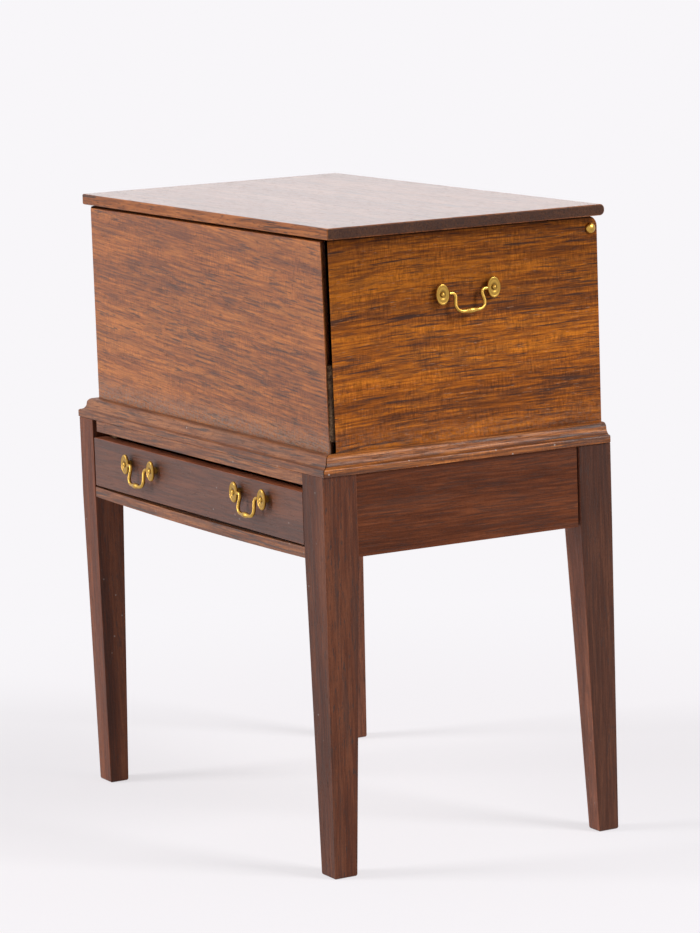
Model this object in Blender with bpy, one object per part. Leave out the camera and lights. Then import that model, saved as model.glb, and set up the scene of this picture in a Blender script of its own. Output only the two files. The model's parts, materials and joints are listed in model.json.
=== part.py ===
"""Miniature cellarette: a lidded bottle case with side handles, on a stand with one drawer and tapered legs.

Sizes below are millimetres. Each mesh is scaled to metres when its object is made.
+Z is up, the drawer opens towards -Y, and left and right are as seen from the front.
"""

import math
from collections import namedtuple

import bmesh
import bpy
from mathutils import Matrix, Vector

MM = 0.001

# Fits
GLUE = 0.02
MITRE_OPEN = 0.05
TENON_FIT = 0.05
PRESS_FIT = 0.02
RUNNING_FIT = 0.05
SAME_PLACE = 0.01

# Stand
STAND_WIDTH = 68.9
STAND_DEPTH = 42.5
STAND_FRONT = -20.75
STAND_TOP = 51.2
FOOT_ROUNDING = 0.25
APRON_HEIGHT = 10.5
APRON_THICK = 2.4
APRON_SET_BACK = 0.2
APRON_REAR_SEAM = 0.25
TENON_LENGTH = 1.0
TENON_THICK = 1.0
TENON_SHOULDER = 0.3

# Legs, each cut a little differently. Foot set in is measured from the leg's outer face.
Leg = namedtuple("Leg", "width depth foot_width foot_depth foot_set_in")
LEGS = {
    "leg_front_left": Leg(width=4.05, depth=4.3, foot_width=3.4, foot_depth=2.75, foot_set_in=1.5),
    "leg_front_right": Leg(width=5.3, depth=4.8, foot_width=3.43, foot_depth=3.25, foot_set_in=0.45),
    "leg_rear_left": Leg(width=3.85, depth=4.8, foot_width=2.7, foot_depth=3.0, foot_set_in=0.0),
    "leg_rear_right": Leg(width=4.05, depth=4.8, foot_width=2.5, foot_depth=3.0, foot_set_in=0.25),
}

# Front rails above and below the drawer
RAIL_SET_BACK = 0.05
RAIL_THICK = 2.4
TOP_RAIL_HEIGHT = 1.55
TOP_RAIL_LEFT_SLOT = 1.15
BOTTOM_RAIL_HEIGHT = 1.45
BOTTOM_RAIL_BELOW_APRON = 0.3
BOTTOM_RAIL_SAG = 0.3
SAG_STEPS = 12

# Strips that carry and steady the drawer
RUNNER_WIDTH = 2.4
RUNNER_THICK = 1.23
RUNNER_ABOVE_RAIL = 0.13
KICKER_PLAY = 0.35

# Moulding round the foot of the case: a fillet, a hollow and a roll, as steps outwards and heights
MOULDING_OUT = 2.2
MOULDING_FILLET = 0.98
MOULDING_ARRIS = 0.12
MOULDING_ROLL_OUT = 1.3
MOULDING_ROLL_FOOT = 1.85
MOULDING_FLAT = 0.6
MOULDING_HEIGHT = 2.54
MOULDING_ARC_STEPS = 5
MOULDING_BACK_SHORT = 0.1

# Case
CASE_SIDE_SET_IN = 1.9
CASE_FRONT_SET_BACK = 2.2
CASE_BACK_SET_IN = 0.05
CASE_HEIGHT = 29.13
CASE_FRONT_LOW = 0.25
CASE_WALL = 1.6
CASE_BOTTOM_THICK = 1.6
HINGE_CORNER_RADIUS = 1.3
CORNER_STEPS = 6

# The front right corner stands open: how far each panel ends short of the corner, at its top and its foot
OPEN_FRONT_TOP = 0.6
OPEN_FRONT_FOOT = 0.08
OPEN_SIDE_TOP = 0.65
OPEN_SIDE_FOOT = 0.9
FILLER_RISE = 3.93
FILLER_HEIGHT = 9.55
FILLER_OUTER = 0.3
FILLER_INNER = 1.4
FILLER_PLAY = 0.03

# Bottle dividers
DIVIDER_THICK = 0.8
DIVIDER_HEIGHT = 14.0
DIVIDER_PLAY = 0.15
LAP_PLAY = 0.05
CELLS_ALONG = 4
CELLS_DEEP = 3

# Lid and its hinge
LID_SIDE_OVERHANG = 1.85
LID_FRONT_OVERHANG = 0.3
LID_BACK_OVERHANG = 0.05
LID_GAP = 0.15
LID_THICK = 1.45
LID_ROUNDING = 0.18
LID_NOSE = 0.65
HINGE_INSET = 1.1
HINGE_DROP = 1.55
HINGE_RAIL_RADIUS = 0.95
HINGE_RAIL_END_PLAY = 0.25
HINGE_RAIL_BACK_PLAY = 0.45
HINGE_RAIL_STEPS = 12
HINGE_PIN_RADIUS = 0.3
HINGE_PIN_DEPTH = 3.0
HINGE_HEAD_RADIUS = 0.73
HINGE_HEAD_HEIGHT = 0.55
HINGE_SIDES = 24

# Drawer
DRAWER_PLAY = 0.2
DRAWER_RUN_PLAY = 0.07
DRAWER_TOP_GAP = 0.9
DRAWER_FRONT_THICK = 2.0
DRAWER_SIDE_SET_IN = 0.15
DRAWER_SIDE_THICK = 1.2
DRAWER_SIDE_LOW = 1.15
DRAWER_BACK_LOW = 0.4
DRAWER_BOTTOM_THICK = 0.9
DRAWER_STOP_PLAY = 0.35

# Brass pulls, alike on the drawer and the case
PULL_SPACING = 7.55
DRAWER_PULL_SHIFT = 0.22
DRAWER_PULL_REACH = 15.63
DRAWER_PULL_ABOVE_MIDDLE = 1.145
DRAWER_PULL_UNEVEN = 0.135
HANDLE_SHIFT = 0.12
HANDLE_DROP = 7.9
RIGHT_HANDLE_TILT = -2.4
RIGHT_HANDLE_SWING = 12.0
DRAWER_PULL_SWING = 10.0
ROSETTE_HALF_WIDTH = 0.94
ROSETTE_HALF_HEIGHT = 1.4
ROSETTE_EDGE = 0.06
ROSETTE_RIM = 0.16
ROSETTE_GROOVE = 0.27
ROSETTE_BEAD_OUTER = 0.36
ROSETTE_BEAD_INNER = 0.48
ROSETTE_DISH = 0.58
ROSETTE_BOSS = 0.5
ROSETTE_BACK = 0.6
ROSETTE_THICK = 0.37
ROSETTE_GROOVE_DEPTH = 0.04
ROSETTE_DISH_DEPTH = 0.1
ROSETTE_SIDES = 32
BAIL_STAND_OFF = 0.78
BAIL_END_RADIUS = 0.09
BAIL_ARM_RADIUS = 0.24
BAIL_GRIP_RADIUS = 0.38
BAIL_END_GAP = 0.56
BAIL_SHOULDER = 2.73
BAIL_SHOULDER_WIDTH = 0.04
BAIL_NECK = 2.4
BAIL_THROAT = 1.97
BAIL_THROAT_DROP = 0.45
BAIL_BELLY = 2.12
BAIL_BELLY_DROP = 1.6
BAIL_FOOT = 1.1
BAIL_DROP = 2.46
BAIL_BEND_STEPS = 4
BAIL_SIDES = 8
PIVOT_PLAY = 0.04
PIVOT_END = 0.5
PIN_RADIUS = 0.15
PIN_DEPTH = 1.3
PIN_HEAD_RADIUS = 0.27
PIN_HEAD_HEIGHT = 0.24
PIN_SIDES = 12
DOME_STEPS = 5
DOME_TIP = 86
SMOOTH_UNDER = 40

# Colours, linear
CASE_FRONT_PAINT = ("walnut_case_front", (0.33, 0.15, 0.085), 0.42, 0.0)
CASE_SIDE_PAINT = ("walnut_case_side", (0.26, 0.08, 0.02), 0.4, 0.0)
LID_PAINT = ("walnut_lid", (0.2, 0.085, 0.05), 0.3, 0.0)
MOULDING_PAINT = ("walnut_moulding", (0.26, 0.1, 0.045), 0.45, 0.0)
STAND_PAINT = ("walnut_stand", (0.13, 0.045, 0.025), 0.45, 0.0)
DRAWER_PAINT = ("walnut_drawer_front", (0.22, 0.105, 0.075), 0.45, 0.0)
INSIDE_PAINT = ("plain_inside_wood", (0.32, 0.17, 0.085), 0.6, 0.0)
FILLER_PAINT = ("filler", (0.16, 0.095, 0.06), 0.7, 0.0)
BRASS_PAINT = ("brass", (0.72, 0.49, 0.17), 0.28, 1.0)


def clear_scene():
    for thing in list(bpy.data.objects):
        bpy.data.objects.remove(thing, do_unlink=True)


def paint(name, colour, roughness, metallic):
    found = bpy.data.materials.get(name)
    if found:
        return found
    made = bpy.data.materials.new(name)
    made.use_nodes = True
    shader = made.node_tree.nodes["Principled BSDF"]
    shader.inputs["Base Color"].default_value = (*colour, 1.0)
    shader.inputs["Roughness"].default_value = roughness
    shader.inputs["Metallic"].default_value = metallic
    made.diffuse_color = (*colour, 1.0)
    return made


def rectangle(axis, at, u, v):
    """Four points of a rectangle square to an axis, from two spans along the other axes."""
    corners = ((u[0], v[0]), (u[1], v[0]), (u[1], v[1]), (u[0], v[1]))
    return [outline_point(axis, at, a, b) for a, b in corners]


def outline_point(axis, at, a, b):
    point = [a, b]
    point.insert(axis, at)
    return Vector(point)


def oval(axis, at, half_u, half_v, sides, centre=(0.0, 0.0)):
    points = []
    for i in range(sides):
        turn = 2 * math.pi * i / sides
        u = centre[0] + half_u * math.cos(turn)
        v = centre[1] + half_v * math.sin(turn)
        points.append(outline_point(axis, at, u, v))
    return points


def loft(rings, joined=False):
    """Skins rings of points in turn. The ends are capped, or the last ring is joined to the first."""
    made = bmesh.new()
    rows = [[made.verts.new(point) for point in ring] for ring in rings]
    pairs = list(zip(rows, rows[1:]))
    if joined:
        pairs.append((rows[-1], rows[0]))
    else:
        made.faces.new(rows[0])
        made.faces.new(rows[-1])
    for low, high in pairs:
        for i in range(len(low)):
            j = (i + 1) % len(low)
            made.faces.new((low[i], low[j], high[j], high[i]))
    bmesh.ops.recalc_face_normals(made, faces=made.faces)
    return made


def block(x, y, z):
    return loft([rectangle(2, z[0], x, y), rectangle(2, z[1], x, y)])


def prism(axis, span, outline):
    rings = [[outline_point(axis, at, a, b) for a, b in outline] for at in span]
    return loft(rings)


def as_mesh(name, made):
    """Scales a shape to metres and stores it."""
    bmesh.ops.scale(made, vec=(MM, MM, MM), verts=made.verts)
    data = bpy.data.meshes.new(name)
    made.to_mesh(data)
    made.free()
    return data


def stand_alone(name, data, colours, where, carrier=None):
    """Makes the object of a sub-part at a place given in metres, on the empty that carries it if it moves."""
    thing = bpy.data.objects.new(name, data)
    bpy.context.scene.collection.objects.link(thing)
    if not data.materials:
        data.materials.append(paint(*colours))
    if carrier:
        thing.parent = carrier
        where = Matrix.Translation(-carrier.location) @ where
    thing.matrix_basis = where
    return thing


def piece(name, made, colours, carrier=None, smooth=False):
    """Makes a sub-part from a shape drawn in place, with its origin at the middle of its box."""
    low = Vector([min(v.co[i] for v in made.verts) for i in range(3)])
    high = Vector([max(v.co[i] for v in made.verts) for i in range(3)])
    middle = (low + high) / 2
    bmesh.ops.translate(made, vec=-middle, verts=made.verts)
    data = as_mesh(name, made)
    if smooth:
        rounded(data)
    return stand_alone(name, data, colours, Matrix.Translation(middle * MM), carrier)


def cut(target, made):
    """Takes a shape drawn in place out of a sub-part."""
    tool = bpy.data.objects.new(target.name + "_cutter", as_mesh(target.name + "_cutter", made))
    bpy.context.scene.collection.objects.link(tool)
    tool.hide_render = True
    tool.display_type = "WIRE"
    knife = target.modifiers.new("cut", "BOOLEAN")
    knife.operation = "DIFFERENCE"
    knife.solver = "EXACT"
    knife.object = tool


def joint_empty(name, x, y, z):
    made = bpy.data.objects.new(name, None)
    made.location = Vector((x, y, z)) * MM
    bpy.context.scene.collection.objects.link(made)
    return made


def grown(span, by):
    return (span[0] - by, span[1] + by)


def tenoned(axis, span, u, v, tenon_u, tenon_v, slots=(GLUE, GLUE)):
    """A rail between two legs, with a stub tenon past each end. Spans u and v are its section."""
    start = span[0] + slots[0]
    stop = span[1] - slots[1]
    return [
        rectangle(axis, span[0] - TENON_LENGTH, tenon_u, tenon_v),
        rectangle(axis, start, tenon_u, tenon_v),
        rectangle(axis, start, u, v),
        rectangle(axis, stop, u, v),
        rectangle(axis, stop, tenon_u, tenon_v),
        rectangle(axis, span[1] + TENON_LENGTH, tenon_u, tenon_v),
    ]


def middle_of(span, width):
    centre = (span[0] + span[1]) / 2
    return (centre - width / 2, centre + width / 2)


def side_span(side, outer, width):
    """Low and high ends of a width measured inwards from an outer face on one side."""
    ends = (side * outer, side * (outer - width))
    return (min(ends), max(ends))


STAND_BACK = STAND_FRONT + STAND_DEPTH
HALF_STAND = STAND_WIDTH / 2
APRON_BOTTOM = STAND_TOP - APRON_HEIGHT
APRON_Z = (APRON_BOTTOM, STAND_TOP)
APRON_TENON_Z = grown(APRON_Z, -TENON_SHOULDER)
BACK_APRON_Y = (STAND_BACK - APRON_SET_BACK - APRON_THICK, STAND_BACK - APRON_SET_BACK)
STAND_FACE = STAND_FRONT + RAIL_SET_BACK
RAIL_Y = (STAND_FACE, STAND_FACE + RAIL_THICK)
RAIL_TENON_Y = middle_of(RAIL_Y, TENON_THICK)
TOP_RAIL_Z = (STAND_TOP - TOP_RAIL_HEIGHT, STAND_TOP)
TOP_RAIL_TENON_Z = grown(TOP_RAIL_Z, -TENON_SHOULDER)
BOTTOM_RAIL_BOTTOM = APRON_BOTTOM - BOTTOM_RAIL_BELOW_APRON
BOTTOM_RAIL_Z = (BOTTOM_RAIL_BOTTOM, BOTTOM_RAIL_BOTTOM + BOTTOM_RAIL_HEIGHT)
BOTTOM_RAIL_TENON_Z = grown(BOTTOM_RAIL_Z, -TENON_SHOULDER)
RUNNER_TOP = BOTTOM_RAIL_Z[1] + RUNNER_ABOVE_RAIL
DRAWER_FRONT_Z = (RUNNER_TOP + DRAWER_RUN_PLAY, TOP_RAIL_Z[0] - DRAWER_TOP_GAP)
DRAWER_SIDE_TOP = DRAWER_FRONT_Z[1] - DRAWER_SIDE_LOW
HALF_CASE = HALF_STAND - CASE_SIDE_SET_IN
CASE_FRONT = STAND_FRONT + CASE_FRONT_SET_BACK
CASE_BACK = STAND_BACK - CASE_BACK_SET_IN
CASE_FOOT = STAND_TOP + GLUE
CASE_TOP = CASE_FOOT + CASE_HEIGHT
CASE_FLOOR = CASE_FOOT + CASE_BOTTOM_THICK
CASE_INNER_X = HALF_CASE - CASE_WALL
CASE_INNER_Y = (CASE_FRONT + CASE_WALL, CASE_BACK - CASE_WALL)
LID_BOTTOM = CASE_TOP + LID_GAP
HINGE_Y = CASE_BACK - HINGE_INSET
HINGE_Z = CASE_TOP - HINGE_DROP
CASE_BACK_TOP = HINGE_Z - HINGE_RAIL_RADIUS - HINGE_RAIL_BACK_PLAY
ROSETTE_FRONT = ROSETTE_BACK + ROSETTE_THICK
PIN_SEAT = ROSETTE_FRONT - ROSETTE_DISH_DEPTH


def side_apron_x(side):
    return side_span(side, HALF_STAND - APRON_SET_BACK, APRON_THICK)


def leg_name(side, front):
    return f"leg_{'front' if front else 'rear'}_{'left' if side < 0 else 'right'}"


def leg_inner(side, front):
    """How far a leg's inner face is from the middle of the stand."""
    return HALF_STAND - LEGS[leg_name(side, front)].width


def between_legs(front):
    return (-leg_inner(-1, front), leg_inner(1, front))


def drawer_way(side):
    """How far the drawer's clear way reaches from the middle on one side."""
    return min(leg_inner(side, True), leg_inner(side, False))


def apron_span(side):
    return (STAND_FRONT + LEGS[leg_name(side, True)].depth, STAND_BACK - LEGS[leg_name(side, False)].depth)


def leg(side, front):
    """A square leg that tapers below the frame on its inner faces. A set-in foot tapers on its outer face."""
    name = leg_name(side, front)
    sizes = LEGS[name]
    x = side_span(side, HALF_STAND, sizes.width)
    foot_x = side_span(side, HALF_STAND - sizes.foot_set_in, sizes.foot_width)
    if front:
        y = (STAND_FRONT, STAND_FRONT + sizes.depth)
        foot_y = (STAND_FRONT, STAND_FRONT + sizes.foot_depth)
    else:
        y = (STAND_BACK - sizes.depth, STAND_BACK)
        foot_y = (STAND_BACK - sizes.foot_depth, STAND_BACK)
    foot = rectangle(2, 0.0, foot_x, foot_y)
    made = loft([foot, rectangle(2, BOTTOM_RAIL_BOTTOM, x, y), rectangle(2, STAND_TOP, x, y)])
    floor_edges = [edge for edge in made.edges if all(v.co.z < SAME_PLACE for v in edge.verts)]
    bmesh.ops.bevel(made, geom=floor_edges, offset=FOOT_ROUNDING, segments=2, profile=0.5, affect="EDGES")
    made_leg = piece(name, made, STAND_PAINT)
    mortise_side_apron(made_leg, side, front)
    if front:
        mortise_rails(made_leg, side)
    else:
        mortise_back_apron(made_leg, side)


def mortise(target, x, y, z):
    cut(target, block(grown(x, TENON_FIT), grown(y, TENON_FIT), grown(z, TENON_FIT)))


def mortise_side_apron(target, side, front):
    x = middle_of(side_apron_x(side), TENON_THICK)
    span = apron_span(side)
    if front:
        y = (span[0] - TENON_LENGTH, span[0] + TENON_FIT)
    else:
        y = (span[1] - TENON_FIT, span[1] + TENON_LENGTH)
    mortise(target, x, y, APRON_TENON_Z)


def mortise_rails(target, side):
    """Mortises for the front rails. The top rail has no tenon at its left end."""
    x = side_span(side, leg_inner(side, True) + TENON_LENGTH, TENON_LENGTH + TENON_FIT)
    mortise(target, x, RAIL_TENON_Y, BOTTOM_RAIL_TENON_Z)
    if side > 0:
        mortise(target, x, RAIL_TENON_Y, TOP_RAIL_TENON_Z)


def mortise_back_apron(target, side):
    x = side_span(side, leg_inner(side, False) + TENON_LENGTH, TENON_LENGTH + TENON_FIT)
    mortise(target, x, middle_of(BACK_APRON_Y, TENON_THICK), APRON_TENON_Z)


def legs():
    for front in (True, False):
        for side in (-1, 1):
            leg(side, front)


def aprons():
    for name, side in (("apron_left", -1), ("apron_right", 1)):
        x = side_apron_x(side)
        seams = (GLUE, APRON_REAR_SEAM)
        rings = tenoned(1, apron_span(side), x, APRON_Z, middle_of(x, TENON_THICK), APRON_TENON_Z, seams)
        piece(name, loft(rings), STAND_PAINT)
    tenon_y = middle_of(BACK_APRON_Y, TENON_THICK)
    rings = tenoned(0, between_legs(False), BACK_APRON_Y, APRON_Z, tenon_y, APRON_TENON_Z)
    piece("apron_back", loft(rings), STAND_PAINT)


def top_rail():
    """The rail over the drawer, cut short of the left leg and left without a tenon there."""
    slots = (TOP_RAIL_LEFT_SLOT, GLUE)
    rings = tenoned(0, between_legs(True), RAIL_Y, TOP_RAIL_Z, RAIL_TENON_Y, TOP_RAIL_TENON_Z, slots)
    piece("rail_top", loft(rings[2:]), STAND_PAINT)


def bottom_rail():
    """The rail under the drawer sags between its ends."""
    span = between_legs(True)
    rings = tenoned(0, span, RAIL_Y, BOTTOM_RAIL_Z, RAIL_TENON_Y, BOTTOM_RAIL_TENON_Z)
    start, stop = grown(span, -GLUE)
    bowed = []
    for i in range(1, SAG_STEPS):
        share = i / SAG_STEPS
        drop = BOTTOM_RAIL_SAG * 4 * share * (1 - share)
        x = start + (stop - start) * share
        bowed.append(rectangle(0, x, RAIL_Y, [z - drop for z in BOTTOM_RAIL_Z]))
    piece("rail_bottom", loft(rings[:3] + bowed + rings[3:]), STAND_PAINT)


def drawer_strips():
    y = (RAIL_Y[1] + GLUE, BACK_APRON_Y[0] - GLUE)
    for side, word in ((-1, "left"), (1, "right")):
        x = side_span(side, drawer_way(side) - GLUE, RUNNER_WIDTH)
        piece("runner_" + word, block(x, y, (RUNNER_TOP - RUNNER_THICK, RUNNER_TOP)), INSIDE_PAINT)
        kicker_z = (DRAWER_SIDE_TOP + KICKER_PLAY, STAND_TOP - GLUE)
        piece("kicker_" + word, block(x, y, kicker_z), INSIDE_PAINT)


def arc(centre, half_u, half_v, start, stop, steps):
    """Points of an oval's arc from one angle to another, in degrees."""
    points = []
    for i in range(steps + 1):
        turn = math.radians(start + (stop - start) * i / steps)
        points.append((centre[0] + half_u * math.cos(turn), centre[1] + half_v * math.sin(turn)))
    return points


def moulding_profile():
    """The moulding's section from the foot of the case round to its top, as steps outwards and heights."""
    hollow_end = MOULDING_OUT - MOULDING_ARRIS
    hollow_wide = hollow_end - MOULDING_ROLL_OUT
    hollow_high = MOULDING_ROLL_FOOT - MOULDING_FILLET
    hollow = arc((hollow_end, MOULDING_ROLL_FOOT), hollow_wide, hollow_high, 270, 180, MOULDING_ARC_STEPS)
    roll_wide = MOULDING_ROLL_OUT - MOULDING_FLAT
    roll_high = MOULDING_HEIGHT - MOULDING_ROLL_FOOT
    roll = arc((MOULDING_FLAT, MOULDING_ROLL_FOOT), roll_wide, roll_high, 0, 90, MOULDING_ARC_STEPS)
    fillet = [(MOULDING_OUT, 0.0), (MOULDING_OUT, MOULDING_FILLET - MOULDING_ARRIS)]
    return [(GLUE, 0.0), *fillet, *hollow[:-1], *roll, (GLUE, MOULDING_HEIGHT)]


def moulding_ring(place):
    """The moulding's section, with each point put in place by its step outwards from the case."""
    return [Vector((*place(out), CASE_FOOT + up)) for out, up in moulding_profile()]


def mouldings():
    def front_end(side):
        return moulding_ring(lambda out: (side * (HALF_CASE + out - MITRE_OPEN), CASE_FRONT - out))

    piece("moulding_front", loft([front_end(-1), front_end(1)]), MOULDING_PAINT)
    for side, word in ((-1, "left"), (1, "right")):
        mitre = moulding_ring(lambda out: (side * (HALF_CASE + out), CASE_FRONT - out + MITRE_OPEN))
        square = moulding_ring(lambda out: (side * (HALF_CASE + out), CASE_BACK - MOULDING_BACK_SHORT))
        piece("moulding_" + word, loft([mitre, square]), MOULDING_PAINT)


def at_height(foot, top, z):
    return foot + (top - foot) * (z - CASE_FOOT) / (CASE_TOP - CASE_FOOT)


def open_front(z):
    return at_height(OPEN_FRONT_FOOT, OPEN_FRONT_TOP, z)


def open_side(z):
    return at_height(OPEN_SIDE_FOOT, OPEN_SIDE_TOP, z)


def case_front():
    """The front panel, mitred at both ends. It ends a little below the sides."""
    rings = []
    top_z = CASE_TOP - CASE_FRONT_LOW
    for inward in (0.0, CASE_WALL):
        left = -HALF_CASE + inward
        y = CASE_FRONT + inward
        foot = HALF_CASE - OPEN_FRONT_FOOT - inward
        top = HALF_CASE - open_front(top_z) - inward
        corners = ((left, CASE_FOOT), (foot, CASE_FOOT), (top, top_z), (left, top_z))
        rings.append([Vector((x, y, z)) for x, z in corners])
    piece("case_front", loft(rings), CASE_FRONT_PAINT)


def side_outline(inward, short_foot, short_top):
    """A case side's edge in Y and Z, mitred at its front end and rounded at the hinge."""
    outline = [(CASE_FRONT + short_foot + inward, CASE_FOOT), (CASE_BACK, CASE_FOOT)]
    radius = HINGE_CORNER_RADIUS
    outline += arc((CASE_BACK - radius, CASE_TOP - radius), radius, radius, 0, 90, CORNER_STEPS)
    outline.append((CASE_FRONT + short_top + inward, CASE_TOP))
    return outline


def case_side(word, side, short_foot, short_top):
    rings = []
    for inward in (0.0, CASE_WALL):
        outline = side_outline(inward, short_foot, short_top)
        rings.append([Vector((side * (HALF_CASE - inward), y, z)) for y, z in outline])
    made = piece("case_side_" + word, loft(rings), CASE_SIDE_PAINT)
    through = side_span(side, HALF_CASE + CASE_WALL, 3 * CASE_WALL)
    centre = (HINGE_Y, HINGE_Z)
    radius = HINGE_PIN_RADIUS + PRESS_FIT
    cut(made, loft([oval(0, x, radius, radius, HINGE_SIDES, centre) for x in through]))
    return made


def case_walls():
    case_front()
    left = case_side("left", -1, MITRE_OPEN, MITRE_OPEN)
    right = case_side("right", 1, OPEN_SIDE_FOOT, OPEN_SIDE_TOP)
    x = (-CASE_INNER_X + GLUE, CASE_INNER_X - GLUE)
    piece("case_back", block(x, (CASE_INNER_Y[1], CASE_BACK), (CASE_FOOT, CASE_BACK_TOP)), CASE_SIDE_PAINT)
    piece("case_bottom", block(x, grown(CASE_INNER_Y, -GLUE), (CASE_FOOT, CASE_FLOOR)), INSIDE_PAINT)
    return left, right


def corner_filler():
    """A strip in the lower part of the open corner, between the two mitred ends."""
    rings = []
    foot = CASE_FOOT + FILLER_RISE
    for z in (foot, foot + FILLER_HEIGHT):
        near_front = HALF_CASE - open_front(z) + FILLER_PLAY
        near_side = CASE_FRONT + open_side(z) - FILLER_PLAY
        ring = []
        for depth in (FILLER_OUTER, FILLER_INNER):
            on_front = Vector((near_front - depth, CASE_FRONT + depth, z))
            on_side = Vector((HALF_CASE - depth, near_side + depth, z))
            ring += [on_front, on_side] if depth == FILLER_OUTER else [on_side, on_front]
        rings.append(ring)
    piece("case_corner_filler", loft(rings), FILLER_PAINT)


def cell_walls(low, high, cells):
    """Spans of the dividers that part a width into equal cells."""
    clear = (high - low - (cells - 1) * DIVIDER_THICK) / cells
    starts = [low + (i + 1) * clear + i * DIVIDER_THICK for i in range(cells - 1)]
    return [(start, start + DIVIDER_THICK) for start in starts]


def comb(span, notches, from_top):
    """A divider's edge: a long rectangle with half-height notches where others cross it."""
    low = CASE_FLOOR + GLUE
    high = low + DIVIDER_HEIGHT
    half = (low + high) / 2
    edge, depth = (high, half - LAP_PLAY) if from_top else (low, half + LAP_PLAY)
    outline = [(span[0], edge)]
    for notch in notches:
        start, stop = grown(notch, LAP_PLAY)
        outline += [(start, edge), (start, depth), (stop, depth), (stop, edge)]
    other = low if from_top else high
    return outline + [(span[1], edge), (span[1], other), (span[0], other)]


def dividers():
    across = cell_walls(-CASE_INNER_X, CASE_INNER_X, CELLS_ALONG)
    along = cell_walls(*CASE_INNER_Y, CELLS_DEEP)
    long_span = (-CASE_INNER_X + DIVIDER_PLAY, CASE_INNER_X - DIVIDER_PLAY)
    for y, word in zip(along, ("front", "back")):
        piece("divider_long_" + word, prism(1, y, comb(long_span, across, True)), INSIDE_PAINT)
    cross_span = grown(CASE_INNER_Y, -DIVIDER_PLAY)
    for x, word in zip(across, ("left", "middle", "right")):
        piece("divider_cross_" + word, prism(0, x, comb(cross_span, along, False)), INSIDE_PAINT)


def lid(carrier):
    """The lid's board: square at its front and ends, with a round nose at the back where it turns."""
    top = LID_BOTTOM + LID_THICK
    front = CASE_FRONT - LID_FRONT_OVERHANG
    nose = CASE_BACK + LID_BACK_OVERHANG - LID_NOSE
    outline = [(front, top), (front, LID_BOTTOM)]
    outline += arc((nose, LID_BOTTOM + LID_NOSE), LID_NOSE, LID_NOSE, 270, 360, CORNER_STEPS)
    outline += arc((nose, top - LID_NOSE), LID_NOSE, LID_NOSE, 0, 90, CORNER_STEPS)
    end = HALF_CASE + LID_SIDE_OVERHANG
    made = prism(0, (-end, end), outline)
    sharp = [edge for edge in made.edges if edge.calc_face_angle() > math.radians(SMOOTH_UNDER)]
    bmesh.ops.bevel(made, geom=sharp, offset=LID_ROUNDING, segments=2, profile=0.5, affect="EDGES")
    piece("lid_board", made, LID_PAINT, carrier, smooth=True)


def hinge_rail(carrier):
    """The batten under the lid's back edge, rounded below so that it turns above the case's back."""
    axle = (HINGE_Y, HINGE_Z)
    outline = arc(axle, HINGE_RAIL_RADIUS, HINGE_RAIL_RADIUS, 180, 360, HINGE_RAIL_STEPS)
    top = LID_BOTTOM - GLUE
    outline += [(HINGE_Y + HINGE_RAIL_RADIUS, top), (HINGE_Y - HINGE_RAIL_RADIUS, top)]
    end = CASE_INNER_X - HINGE_RAIL_END_PLAY
    made = piece("lid_hinge_rail", prism(0, (-end, end), outline), LID_PAINT, carrier)
    radius = HINGE_PIN_RADIUS + RUNNING_FIT
    for side in (-1, 1):
        bore = side_span(side, end + CASE_WALL, CASE_WALL + HINGE_PIN_DEPTH + RUNNING_FIT)
        cut(made, loft([oval(0, x, radius, radius, HINGE_SIDES, axle) for x in bore]))


def dome(axis, foot, height, radius, sides, centre=(0.0, 0.0)):
    """Rings of a round head from its foot to its flat tip."""
    rings = []
    for i in range(DOME_STEPS):
        turn = math.radians(DOME_TIP) * i / (DOME_STEPS - 1)
        wide = radius * math.cos(turn)
        rings.append(oval(axis, foot + height * math.sin(turn), wide, wide, sides, centre))
    return rings


def hinge_pins():
    centre = (HINGE_Y, HINGE_Z)
    for side, word in ((-1, "left"), (1, "right")):
        tip = side * (CASE_INNER_X - HINGE_RAIL_END_PLAY - HINGE_PIN_DEPTH)
        foot = side * (HALF_CASE + GLUE)
        shank = [oval(0, x, HINGE_PIN_RADIUS, HINGE_PIN_RADIUS, HINGE_SIDES, centre) for x in (tip, foot)]
        head = dome(0, foot, side * HINGE_HEAD_HEIGHT, HINGE_HEAD_RADIUS, HINGE_SIDES, centre)
        piece("hinge_pin_" + word, loft(shank + head), BRASS_PAINT, smooth=True)


def drawer_box(carrier):
    back_of_front = STAND_FACE + DRAWER_FRONT_THICK
    made = block(grown(between_legs(True), -DRAWER_PLAY), (STAND_FACE, back_of_front), DRAWER_FRONT_Z)
    front = piece("drawer_front", made, DRAWER_PAINT, carrier)
    y = (back_of_front + GLUE, BACK_APRON_Y[0] - DRAWER_STOP_PLAY)
    foot = DRAWER_FRONT_Z[0]
    inside = []
    for side, word in ((-1, "left"), (1, "right")):
        outer = drawer_way(side) - DRAWER_PLAY - DRAWER_SIDE_SET_IN
        made = block(side_span(side, outer, DRAWER_SIDE_THICK), y, (foot, DRAWER_SIDE_TOP))
        piece("drawer_side_" + word, made, INSIDE_PAINT, carrier)
        inside.append(side * (outer - DRAWER_SIDE_THICK - GLUE))
    floor = foot + DRAWER_BOTTOM_THICK
    piece("drawer_bottom", block(inside, y, (foot, floor)), INSIDE_PAINT, carrier)
    back_y = (y[1] - DRAWER_SIDE_THICK, y[1])
    back_z = (floor + GLUE, DRAWER_SIDE_TOP - DRAWER_BACK_LOW)
    piece("drawer_back", block(inside, back_y, back_z), INSIDE_PAINT, carrier)
    return front


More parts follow.
